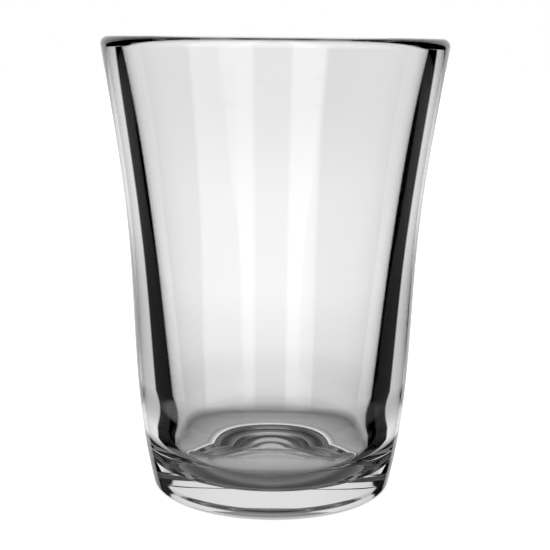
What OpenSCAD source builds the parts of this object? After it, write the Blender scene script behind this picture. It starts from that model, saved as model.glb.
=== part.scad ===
// Cortado glass: a thick-walled tumbler of clear pressed glass, all one piece.
// It is round about +Z, with the origin at the middle of the foot, on the table.

/* [Overall] */
// Height from the table to the top of the rim
height = 93; // [80:1:105]
// Outer diameter where the wall meets the rounded lip
rim_d = 70; // [64:1:80]

/* [Outer wall] */
// Outer diameter just above the rounded heel
foot_d = 50.2; // [46:0.2:54]
// Outer diameter at the waist, where the swell of the foot turns into the flare
waist_d = 60; // [57:0.5:64]
// Height of the waist above the table
waist_h = 54.5; // [45:0.5:62]
// Lean of the outer wall off the vertical, just above the heel
foot_lean = 13.5; // [9:0.5:17]
// Lean of the outer wall at the waist
waist_lean = 4.7; // [2:0.1:8]
// Lean of the outer wall at the rim
rim_lean = 8.6; // [6:0.1:12]

/* [Lip] */
// Thickness of the glass across the rounded lip
lip_wall = 3.7; // [3:0.1:4.5]
// Radius of the lip's outer edge, the rest of the lip rounds the inner edge
lip_edge_r = 1.5; // [1:0.1:2]

/* [Cavity] */
// Thickness of the wall at the waist
waist_wall = 5; // [4:0.1:6]
// Lean of the inner wall at the mouth
mouth_lean = 14.3; // [11:0.1:16]
// Lean of the inner wall from the waist down to the shoulder, the draft that frees the plunger
draft = 6.4; // [5:0.1:8]
// Height of the shoulder, where the inner wall eases inward to the narrower well
shoulder_h = 22.5; // [20:0.5:26]
// Thickness of the wall at the shoulder
shoulder_wall = 6.5; // [5.5:0.1:7]

/* [Well] */
// Height of the cavity's floor above the table
floor_h = 4.2; // [3.5:0.1:5.5]
// Radius of the corner between the floor and the well's wall
corner_r = 8.6; // [6:0.2:10]
// Height of the straight wall from the corner up to where the shoulder's easing starts
well_rise = 2.4; // [1:0.2:3]
// Lean of that wall
well_draft = 3.9; // [2:0.1:6]
// Thickness of the wall at the well's top
well_wall = 6.8; // [6:0.1:7.5]

/* [Foot] */
// Radius of the heel, the edge between the wall and the flat ring that it stands on
heel_r = 0.9; // [0.5:0.1:2]
// Inner diameter of the flat ring that the glass stands on
ring_d = 32; // [28:0.5:42]
// Depth of the shallow recess inside that ring
recess = 0.4; // [0.2:0.1:1]
// Width of the soft step between the ring and the recess
recess_edge = 4; // [1.5:0.1:6]

/* [Hidden] */

// Straight steps that stand for each stretch of wall and each rounding
wall_steps = 16;
round_steps = 10;
$fn = 120;

// A ring of the wall is [radius, height, lean].
lip_r = rim_d / 2 - lip_edge_r;
lip_inner_r = lip_wall - lip_edge_r;
lip_centre = [lip_r, height - lip_edge_r];
mouth_centre = [lip_r, height - lip_inner_r];
heel_centre = [foot_d / 2 - heel_r, heel_r];

foot_ring = ring_on(heel_centre, heel_r, -foot_lean, foot_lean);
waist_ring = [waist_d / 2, waist_h, waist_lean];
rim_ring = ring_on(lip_centre, lip_edge_r, -rim_lean, rim_lean);
mouth_ring = ring_on(mouth_centre, lip_inner_r, 180 - mouth_lean, mouth_lean);
belt_ring = [waist_d / 2 - waist_wall, waist_h, draft];
shoulder_ring = [wall_r(foot_ring, waist_ring, shoulder_h) - shoulder_wall, shoulder_h, draft];
well_h = floor_h + corner_r * (1 - sin(well_draft)) + well_rise;
well_ring = [wall_r(foot_ring, waist_ring, well_h) - well_wall, well_h, well_draft];
corner_top_r = well_ring[0] - well_rise * tan(well_draft);
corner_centre = [corner_top_r - corner_r * cos(well_draft), floor_h + corner_r];

// The ring at an angle on a rounding, where a wall of the given lean runs on from it
function ring_on(centre, r, angle, lean) =
    [centre[0] + r * cos(angle), centre[1] + r * sin(angle), lean];

// Radius at a height on the wall between two rings: the cubic that has both radii and both leans
function wall_r(a, b, h) =
    let (
        rise = b[1] - a[1],
        t = (h - a[1]) / rise,
        blend = t * t * (3 - 2 * t)
    )
    a[0] * (1 - blend) + b[0] * blend
        + rise * t * (1 - t) * (tan(a[2]) * (1 - t) - tan(b[2]) * t);

// Each stretch below has its first point but not its last, which the next stretch starts with.
function wall(a, b) =
    [for (i = [0 : wall_steps - 1])
        let (h = a[1] + (b[1] - a[1]) * i / wall_steps)
        [wall_r(a, b, h), h]];

function rounding(centre, r, from, to) =
    [for (i = [0 : round_steps - 1])
        let (angle = from + (to - from) * i / round_steps)
        [centre[0] + r * cos(angle), centre[1] + r * sin(angle)]];

// Half a cosine wave, from the recess down to the inner edge of the flat ring
function soft_step() =
    [for (i = [0 : round_steps - 1])
        let (t = i / round_steps)
        [ring_d / 2 - recess_edge * (1 - t), recess * (1 + cos(180 * t)) / 2]];

outside = concat(
    rounding(heel_centre, heel_r, -90, -foot_lean),
    wall(foot_ring, waist_ring),
    wall(waist_ring, rim_ring),
    rounding(lip_centre, lip_edge_r, -rim_lean, 90)
);
inside = concat(
    rounding(mouth_centre, lip_inner_r, 90, 180 - mouth_lean),
    wall(mouth_ring, belt_ring),
    wall(belt_ring, shoulder_ring),
    wall(shoulder_ring, well_ring),
    [[well_ring[0], well_h]],
    rounding(corner_centre, corner_r, -well_draft, -90),
    [[corner_centre[0], floor_h], [0, floor_h]]
);
underside = concat([[0, recess]], soft_step(), [[ring_d / 2, 0]]);

module tumbler() {
    color("lightcyan", 0.5)
        rotate_extrude()
            polygon(concat(outside, inside, underside));
}

tumbler();
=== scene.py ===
import math

import bpy
import numpy as np
from mathutils import Matrix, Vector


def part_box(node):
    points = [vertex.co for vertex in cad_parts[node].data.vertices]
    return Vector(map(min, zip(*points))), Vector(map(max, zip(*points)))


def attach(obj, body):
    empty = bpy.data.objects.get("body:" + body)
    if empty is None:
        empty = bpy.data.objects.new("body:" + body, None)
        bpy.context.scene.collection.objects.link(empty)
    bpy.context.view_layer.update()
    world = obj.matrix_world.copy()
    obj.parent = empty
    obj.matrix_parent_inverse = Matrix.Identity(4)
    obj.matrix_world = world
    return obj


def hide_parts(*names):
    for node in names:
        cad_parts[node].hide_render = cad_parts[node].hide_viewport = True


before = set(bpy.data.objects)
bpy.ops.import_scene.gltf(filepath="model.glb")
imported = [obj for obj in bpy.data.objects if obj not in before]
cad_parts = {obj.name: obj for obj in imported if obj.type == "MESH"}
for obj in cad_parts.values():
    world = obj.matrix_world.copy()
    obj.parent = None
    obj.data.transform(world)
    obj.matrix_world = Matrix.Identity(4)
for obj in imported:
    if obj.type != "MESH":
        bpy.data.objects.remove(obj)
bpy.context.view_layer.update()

# The tumbler. The whole glass is one piece of clear soda-lime glass, pressed in a mould: the mould
# gives the outer wall its swell and flare, a plunger the tapered cavity with its narrower well, and a
# flame the round lip. Nothing is fixed to it, so this one piece stands for the one solid.

low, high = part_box("tumbler")
rim_d = 2 * min(-low.x, high.x)
height = high.z

foot_d = 0.0502
waist_d = 0.060
waist_h = 0.0545
foot_lean = 13.5
waist_lean = 4.7
rim_lean = 8.6

lip_wall = 0.0037
lip_edge_r = 0.0015

waist_wall = 0.005
mouth_lean = 14.3
draft = 6.4
shoulder_h = 0.0225
shoulder_wall = 0.0065

floor_h = 0.0042
corner_r = 0.0086
well_rise = 0.0024
well_draft = 3.9
well_wall = 0.0068

heel_r = 0.0009
ring_d = 0.032
recess = 0.0004
recess_edge = 0.004

turns = 256
wall_steps = 40
round_steps = 16
straight_steps = 2

glass_index = 1.52


def ring_on(centre, radius, angle, lean):
    """A ring of the wall, as (radius, height, lean): the point at an angle on a rounding."""
    at = math.radians(angle)
    return centre[0] + radius * math.cos(at), centre[1] + radius * math.sin(at), lean


def rounding(centre, radius, start, end, steps, hollow=False):
    """Rows of radius, height and the normal's two parts, on a circle from one angle to another.
    The normal points away from the circle's centre, or towards it where the glass is hollow."""
    angle = np.radians(np.linspace(start, end, steps + 1))
    away = np.stack([np.cos(angle), np.sin(angle)], axis=1)
    return np.hstack([np.array(centre) + radius * away, -away if hollow else away])


def wall(first, last, steps, inward=False):
    """Rows like those of a rounding, between two rings: radius is the cubic in height that has both
    rings' radii and leans, and the normal is square to its slope."""
    t = np.linspace(0, 1, steps + 1)
    rise = last[1] - first[1]
    lean_a, lean_b = (math.tan(math.radians(ring[2])) for ring in (first, last))
    blend = t * t * (3 - 2 * t)
    radius = (first[0] * (1 - blend) + last[0] * blend
              + rise * t * (1 - t) * (lean_a * (1 - t) - lean_b * t))
    slope = (6 * t * (1 - t) * (last[0] - first[0]) / rise
             + lean_a * (1 - t) * (1 - 3 * t) + lean_b * t * (3 * t - 2))
    out = np.stack([np.ones_like(t), -slope], axis=1) / np.hypot(1, slope)[:, None]
    return np.column_stack([radius, first[1] + rise * t, -out if inward else out])


def soft_step(start, end, high_h, steps):
    """Rows for the underside's soft step: height falls from high_h to 0 as half a cosine wave."""
    t = np.linspace(0, 1, steps + 1)
    radius = start + (end - start) * t
    slope = -high_h * math.pi / 2 * np.sin(math.pi * t) / (end - start)
    out = np.stack([slope, -np.ones_like(t)], axis=1) / np.hypot(1, slope)[:, None]
    return np.column_stack([radius, high_h * (1 + np.cos(math.pi * t)) / 2, out])


def flat(start, end, at_h, facing, steps):
    """Rows for a flat stretch at one height, facing up or down."""
    radius = np.linspace(start, end, steps + 1)
    level = np.ones_like(radius)
    return np.column_stack([radius, at_h * level, 0 * level, facing * level])


def tumbler_outline():
    """Rows of radius, height and normal along half the section, from under the foot round to the floor."""
    lip_r = rim_d / 2 - lip_edge_r
    lip_inner_r = lip_wall - lip_edge_r
    lip_centre = (lip_r, height - lip_edge_r)
    mouth_centre = (lip_r, height - lip_inner_r)
    heel_centre = (foot_d / 2 - heel_r, heel_r)
    foot_ring = ring_on(heel_centre, heel_r, -foot_lean, foot_lean)
    waist_ring = (waist_d / 2, waist_h, waist_lean)
    rim_ring = ring_on(lip_centre, lip_edge_r, -rim_lean, rim_lean)
    mouth_ring = ring_on(mouth_centre, lip_inner_r, 180 - mouth_lean, mouth_lean)
    outer = wall(foot_ring, waist_ring, wall_steps)

    def inner_ring(at_h, thickness, lean):
        return float(np.interp(at_h, outer[:, 1], outer[:, 0])) - thickness, at_h, lean

    belt_ring = (waist_d / 2 - waist_wall, waist_h, draft)
    shoulder_ring = inner_ring(shoulder_h, shoulder_wall, draft)
    well_slope = math.radians(well_draft)
    corner_top_h = floor_h + corner_r * (1 - math.sin(well_slope))
    well_ring = inner_ring(corner_top_h + well_rise, well_wall, well_draft)
    corner_top = (well_ring[0] - well_rise * math.tan(well_slope), corner_top_h, well_draft)
    corner_centre = (corner_top[0] - corner_r * math.cos(well_slope), floor_h + corner_r)
    step_r = ring_d / 2 - recess_edge
    parts = [
        flat(step_r / round_steps, step_r, recess, -1, round_steps),
        soft_step(step_r, ring_d / 2, recess, round_steps),
        flat(ring_d / 2, heel_centre[0], 0, -1, straight_steps),
        rounding(heel_centre, heel_r, -90, -foot_lean, round_steps),
        outer,
        wall(waist_ring, rim_ring, wall_steps),
        rounding(lip_centre, lip_edge_r, -rim_lean, 90, round_steps),
        rounding(mouth_centre, lip_inner_r, 90, 180 - mouth_lean, round_steps),
        wall(belt_ring, mouth_ring, wall_steps, inward=True)[::-1],
        wall(shoulder_ring, belt_ring, wall_steps, inward=True)[::-1],
        wall(well_ring, shoulder_ring, wall_steps, inward=True)[::-1],
        wall(corner_top, well_ring, straight_steps, inward=True)[::-1],
        rounding(corner_centre, corner_r, -well_draft, -90, 2 * round_steps, hollow=True),
        flat(corner_centre[0], corner_centre[0] / round_steps, floor_h, 1, round_steps),
    ]
    return np.concatenate([parts[0]] + [part[1:] for part in parts[1:]])


def turned(name, outline, count):
    """A solid of revolution: x = radius cos(angle), y = radius sin(angle), z = height, over a grid of
    outline rows and angles, with a pole on the axis at each end and the outline's own normals."""
    angle = np.linspace(0, 2 * math.pi, count, endpoint=False)
    across = np.stack([np.cos(angle), np.sin(angle)], axis=1)

    def swept(radial, upright):
        return np.dstack([radial[:, None] * across[:, 0], radial[:, None] * across[:, 1],
                          np.repeat(upright[:, None], count, axis=1)]).reshape(-1, 3)

    rows = len(outline)
    points = swept(outline[:, 0], outline[:, 1])
    normals = swept(outline[:, 2], outline[:, 3])
    poles = np.array([[0, 0, outline[0, 1]], [0, 0, outline[-1, 1]]])
    pole_normals = np.array([[0, 0, outline[0, 3]], [0, 0, outline[-1, 3]]])
    row, turn = np.meshgrid(np.arange(rows - 1), np.arange(count), indexing="ij")
    after = (turn + 1) % count
    quads = np.stack([row * count + turn, row * count + after,
                      (row + 1) * count + after, (row + 1) * count + turn], axis=-1).reshape(-1, 4)
    around = np.arange(count)
    onward = (around + 1) % count
    base, crown = rows * count, (rows - 1) * count
    fans = np.concatenate([np.stack([np.full(count, base), onward, around], axis=1),
                           np.stack([np.full(count, base + 1), crown + around, crown + onward], axis=1)])
    mesh = bpy.data.meshes.new(name)
    mesh.from_pydata(np.concatenate([points, poles]).tolist(), [], quads.tolist() + fans.tolist())
    mesh.polygons.foreach_set("use_smooth", np.ones(len(mesh.polygons), bool))
    mesh.normals_split_custom_set_from_vertices(np.concatenate([normals, pole_normals]).tolist())
    mesh.update()
    piece = bpy.data.objects.new(name, mesh)
    bpy.context.scene.collection.objects.link(piece)
    return piece


def node(tree, kind, **values):
    """A shader node with the given sockets set: a value is a constant or another node's output.
    A name in lower case sets the node's own property instead."""
    made = tree.nodes.new("ShaderNode" + kind)
    for key, value in values.items():
        if key[0].islower():
            setattr(made, key, value)
            continue
        socket = made.inputs[int(key[1:])] if key[1:].isdigit() else made.inputs[key.replace("_", " ")]
        if isinstance(value, bpy.types.NodeSocket):
            tree.links.new(value, socket)
        else:
            socket.default_value = value
    return made


def clear_glass():
    """Water-clear pressed glass: smooth, and refracting all through."""
    finish = bpy.data.materials.new("clear_glass")
    finish.use_nodes = True
    tree = finish.node_tree
    tree.nodes.clear()
    glass = node(tree, "BsdfPrincipled", Base_Color=(1, 1, 1, 1), Roughness=0, IOR=glass_index,
                 Transmission_Weight=1)
    node(tree, "OutputMaterial", Surface=glass.outputs[0])
    return finish


tumbler = turned("tumbler_glass", tumbler_outline(), turns)
tumbler.data.materials.append(clear_glass())
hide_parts("tumbler")
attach(tumbler, "root")

# The table. A plain white sweep that the glass stands on, wide enough to run past the frame. It
# takes the glass's soft shadow, and shows white where the shadow ends. Whoever looks right through
# the walls sees a glow of its own instead, with painted shade that is darkest just past the foot.

table_half = 3.0
# The hair of air under the glass, without which its flat ring would not mirror from inside
table_drop = 0.00005
table_colour = (0.8, 0.8, 0.8, 1)
table_lift = 0.55
# Faces of the glass that a ray has crossed when it counts as coming right through to the table
table_crossings = 2
# Painted shade: brightness of the table's glow seen through the glass, by distance from the foot's middle
table_painted_shade = [(0.026, 0.45), (0.028, 0.45), (0.0305, 0.2), (0.034, 0.17), (0.04, 0.25), (0.046, 0.56),
               (0.066, 0.72), (0.093, 0.88), (0.15, 1), (0.4, 0.98), (0.8, 0.86), (3, 0.78)]


def ramp(tree, level, stops):
    """A brightness along a level from 0 to 1, given as pairs of level and brightness."""
    made = node(tree, "ValToRGB", Fac=level)
    elements = made.color_ramp.elements
    while len(elements) < len(stops):
        elements.new(0.5)
    for element, (position, bright) in zip(elements, stops):
        element.position = position
        element.color = (bright, bright, bright, 1)
    return made.outputs[0]


def math_of(tree, operation, first, second=0.0):
    """The result of one Math node."""
    return node(tree, "Math", operation=operation, _0=first, _1=second).outputs[0]


def seen_past(tree, path, crossings):
    """1 for a ray that has crossed that many faces of the glass or more without being turned back.
    Depths are whole numbers, so a half between two of them tells them apart."""
    return math_of(tree, "MULTIPLY", math_of(tree, "LESS_THAN", path.outputs["Glossy Depth"], 0.5),
                   math_of(tree, "GREATER_THAN", path.outputs["Transmission Depth"], crossings - 0.5))


def table_white_and_painted_shade():
    """Matt white, lifted to white for the eye by a faint glow of its own. It lets light that leaves
    the glass sideways pass, and shows a glow with painted shade to the rays that come right through."""
    paint = bpy.data.materials.new("table_white_and_painted_shade")
    paint.use_nodes = True
    tree = paint.node_tree
    tree.nodes.clear()
    path = node(tree, "LightPath")
    away = node(tree, "VectorMath", operation="LENGTH", _0=node(tree, "TexCoord").outputs["Object"])
    outward = node(tree, "MapRange", Value=away.outputs["Value"], From_Min=0, From_Max=table_half)
    stops = [(distance / table_half, bright) for distance, bright in table_painted_shade]
    # The table's glow, with the glass's shadow painted in, for rays that come right through
    lit = node(tree, "Emission", Color=ramp(tree, outward.outputs[0], stops), Strength=1)
    clear = node(tree, "BsdfTransparent")
    past_foot = math_of(tree, "GREATER_THAN", away.outputs["Value"], table_painted_shade[0][0])
    come_through = math_of(tree, "MULTIPLY", seen_past(tree, path, table_crossings), past_foot)
    through = node(tree, "MixShader", _0=come_through, _1=clear.outputs[0], _2=lit.outputs[0])
    matt = node(tree, "BsdfDiffuse", Color=table_colour)
    lift = math_of(tree, "MULTIPLY", path.outputs["Is Camera Ray"], table_lift)
    glow = node(tree, "Emission", Color=(1, 1, 1, 1), Strength=lift)
    both = node(tree, "AddShader", _0=matt.outputs[0], _1=glow.outputs[0])
    shown = node(tree, "MixShader", _0=path.outputs["Is Transmission Ray"],
                 _1=both.outputs[0], _2=through.outputs[0])
    node(tree, "OutputMaterial", Surface=shown.outputs[0])
    return paint


corners = np.array([[-1, -1, 0], [1, -1, 0], [1, 1, 0], [-1, 1, 0]]) * table_half
corners[:, 2] = -table_drop
table_mesh = bpy.data.meshes.new("table")
table_mesh.from_pydata(corners.tolist(), [], [(0, 1, 2, 3)])
table_mesh.materials.append(table_white_and_painted_shade())
table = bpy.data.objects.new("table", table_mesh)
table.visible_glossy = False
bpy.context.scene.collection.objects.link(table)

# The patch of table under the foot: a grey glow with the glass's own shade painted in, so whoever looks
# down through the floor sees it as a mid grey. Only light that has come through the glass meets it.

patch_r = 0.0245
patch_sides = 64
patch_drop = 0.0001
# Painted shade: brightness of the patch's glow at each place from its front (minus) to its back
patch_painted_shade = [(-0.024, 0.06), (-0.020, 0.13), (-0.017, 0.17), (-0.015, 0.09), (-0.013, 0.06),
               (-0.010, 0.08), (-0.007, 0.14), (-0.004, 0.27), (0, 0.28), (0.0245, 0.3)]


def painted_shade_paint():
    """A grey glow of painted shade that fades from the back of the foot to its front."""
    paint = bpy.data.materials.new("painted_shade_paint")
    paint.use_nodes = True
    tree = paint.node_tree
    tree.nodes.clear()
    place = node(tree, "SeparateXYZ", Vector=node(tree, "TexCoord").outputs["Object"])
    across = node(tree, "MapRange", Value=place.outputs["Y"], From_Min=-patch_r, From_Max=patch_r)
    stops = [((at_y / patch_r + 1) / 2, bright) for at_y, bright in patch_painted_shade]
    glow = node(tree, "Emission", Color=ramp(tree, across.outputs[0], stops), Strength=1)
    node(tree, "OutputMaterial", Surface=glow.outputs[0])
    return paint


round_by = np.linspace(0, 2 * math.pi, patch_sides, endpoint=False)
patch_edge = np.stack([patch_r * np.cos(round_by), patch_r * np.sin(round_by),
                       np.full(patch_sides, -patch_drop)], axis=1)
patch_mesh = bpy.data.meshes.new("painted_shade_patch")
patch_mesh.from_pydata(patch_edge.tolist(), [], [tuple(range(patch_sides))])
patch_mesh.materials.append(painted_shade_paint())
patch = bpy.data.objects.new("painted_shade_patch", patch_mesh)
patch.visible_camera = False
patch.visible_diffuse = False
patch.visible_glossy = False
patch.visible_shadow = False
bpy.context.scene.collection.objects.link(patch)

# The light. Glass is shown by what is behind it: a large lit backdrop, darker towards the floor and
# the ceiling, seen through the gap between dark flags to both sides, which draw the black lines along
# the walls. Two softboxes beside the camera leave the two pale upright streaks on the front.

# Brightness of the backdrop at each elevation, in degrees
glow_at = [(-90, 0.1), (-64, 0.12), (-50, 0.15), (-43, 0.3), (-37, 0.4), (-27, 0.55), (-20, 0.76),
           (-17, 0.86), (-13, 1), (-9, 0.98), (-6, 0.86), (-2, 0.75), (0, 0.72), (24, 0.8), (34, 0.6),
           (46, 0.3), (52, 0.15), (58, 0.03), (64, 0.3), (68, 0.03), (78, 0.02), (83, 0.7), (87, 0.1),
           (90, 0.6)]
# Faces of the glass that a ray has crossed when the flags no longer hide the backdrop from it
backdrop_crossings = 3
# Upward part of a direction, of 1, from which the flags give way to the open ceiling
ceiling_from, ceiling_full = 0.7, 0.9

# Half the width of the gap, how far it is turned to the left, and how soft its edges are, in degrees
gap_half = 31
gap_turn = 1.75
gap_soft = 3
# How much wider the gap gets above, in degrees, and the upward parts between which it does
gap_above = 16
widening_from, widening_full = -0.1, 0.3
# What is left of the backdrop after a second turn inside the wall
second_turn = 0.3

# Brightness of the table beside the flags at each elevation
side_at = [(-90, 0.2), (-36, 0.15), (-29, 0.09), (-27, 0)]
# How much of that there is to the right, and the angle in radians over which it changes
side_right = 0.3
side_soft = 0.2

# Direction, half width and brightness of each softbox, and how soft their sides are, in degrees
softboxes = [(-144, 20, 2), (158, 9.5, 2.2)]
softbox_soft = 3
# Upward part of a direction at which the softboxes end, and over which they fade out below it
softbox_foot = -0.4
softbox_foot_soft = 0.03

# How often a ray may meet the glass in all, and how often it may be mirrored
most_bounces = 32
most_mirrored = 16


def by_elevation(stops):
    """Pairs of elevation in degrees and brightness, turned into levels from 0 at the nadir to 1 overhead."""
    return [((math.sin(math.radians(elevation)) + 1) / 2, bright) for elevation, bright in stops]


def fade(tree, value, start, end, before, after):
    """Runs evenly from one level to another while the value goes from start to end."""
    return node(tree, "MapRange", Value=value, From_Min=start, From_Max=end,
                To_Min=before, To_Max=after).outputs[0]


def gap_between_flags(tree, turn, up, outside):
    """1 in the gap and 0 on the flags. The gap lies behind the glass, wider above, and once more in
    front of it, where what merely mirrors in the outside of the glass doesn't see it."""
    aside = math_of(tree, "ABSOLUTE", math_of(tree, "ADD", turn, math.radians(gap_turn)))
    folded = math_of(tree, "MINIMUM", aside, math_of(tree, "SUBTRACT", math.pi, aside))
    wider = fade(tree, up, widening_from, widening_full, 0, math.radians(gap_above))
    gap = fade(tree, math_of(tree, "SUBTRACT", folded, wider),
               math.radians(gap_half), math.radians(gap_half + gap_soft), 1, 0)
    in_front = math_of(tree, "MULTIPLY", outside, math_of(tree, "GREATER_THAN", aside, math.pi / 2))
    return math_of(tree, "MULTIPLY", gap, math_of(tree, "SUBTRACT", 1.0, in_front))


def backdrop_light(tree, turn, up, level, path, outside):
    """The lit backdrop in the gap, dimmed for light that the wall has turned twice. The ceiling and
    what is seen right through the glass are open past the flags."""
    gap = gap_between_flags(tree, turn, up, outside)
    in_gap = math_of(tree, "MULTIPLY", gap, fade(tree, path.outputs["Glossy Depth"], 1, 2, 1, second_turn))
    overhead = fade(tree, up, ceiling_from, ceiling_full, 0, 1)
    past_flags = math_of(tree, "MAXIMUM", seen_past(tree, path, backdrop_crossings), overhead)
    return math_of(tree, "MULTIPLY", ramp(tree, level, by_elevation(glow_at)),
                   math_of(tree, "MAXIMUM", past_flags, in_gap))


def side_light(tree, turn, level):
    """The table beside the flags, paler to the left than to the right."""
    return math_of(tree, "MULTIPLY", ramp(tree, level, by_elevation(side_at)),
                   fade(tree, turn, -side_soft, side_soft, 1, side_right))


def with_softboxes(tree, light, turn, up, outside):
    """The light with the softboxes added, which only mirror in the outside of the glass."""
    foot = fade(tree, up, softbox_foot - softbox_foot_soft, softbox_foot, 0, 1)
    standing = math_of(tree, "MULTIPLY", outside, foot)
    for direction, half, bright in softboxes:
        off = math_of(tree, "ABSOLUTE", math_of(tree, "SUBTRACT", turn, math.radians(direction)))
        box = fade(tree, off, math.radians(half), math.radians(half + softbox_soft), bright, 0)
        light = math_of(tree, "ADD", light, math_of(tree, "MULTIPLY", standing, box))
    return light


def studio():
    """The world: white for the camera, an even fill for matt surfaces, and the backdrop for glass."""
    world = bpy.data.worlds.new("studio")
    world.use_nodes = True
    tree = world.node_tree
    tree.nodes.clear()
    way = node(tree, "SeparateXYZ", Vector=node(tree, "TexCoord").outputs["Generated"])
    up = way.outputs["Z"]
    level = fade(tree, up, -1, 1, 0, 1)
    turn = math_of(tree, "ARCTAN2", way.outputs["X"], way.outputs["Y"])
    path = node(tree, "LightPath")
    outside = math_of(tree, "LESS_THAN", path.outputs["Transmission Depth"], 0.5)

    light = math_of(tree, "MAXIMUM", backdrop_light(tree, turn, up, level, path, outside),
                    side_light(tree, turn, level))
    light = with_softboxes(tree, light, turn, up, outside)
    backdrop = node(tree, "Background", Color=light, Strength=1)
    white = node(tree, "Background", Color=(1, 1, 1, 1), Strength=1)
    plain = math_of(tree, "MAXIMUM", path.outputs["Is Camera Ray"], path.outputs["Is Diffuse Ray"])
    shown = node(tree, "MixShader", _0=plain, _1=backdrop.outputs[0], _2=white.outputs[0])
    node(tree, "OutputWorld", Surface=shown.outputs[0])
    return world


bpy.context.scene.world = studio()
bpy.context.scene.view_settings.view_transform = "Standard"
bpy.context.scene.cycles.max_bounces = most_bounces
bpy.context.scene.cycles.transmission_bounces = most_bounces
bpy.context.scene.cycles.glossy_bounces = most_mirrored

# The camera. It stands a quarter of a metre in front of the glass, level with its rim, and looks a
# little down. All its turns are in degrees.

camera_back = 0.25561
camera_up = 0.0938
tilt_down = 10.98
yaw_right = 0.086
roll = 0.573
sensor = 36
lens = 81.55
nearest_seen = 0.001

camera_data = bpy.data.cameras.new("camera")
camera_data.sensor_width = sensor
camera_data.lens = lens
camera_data.clip_start = nearest_seen
camera = bpy.data.objects.new("camera", camera_data)
camera.matrix_world = (Matrix.Translation((0, -camera_back, camera_up))
                       @ Matrix.Rotation(math.radians(-yaw_right), 4, "Z")
                       @ Matrix.Rotation(math.radians(90 - tilt_down), 4, "X")
                       @ Matrix.Rotation(math.radians(roll), 4, "Z"))
bpy.context.scene.collection.objects.link(camera)
bpy.context.scene.camera = camera
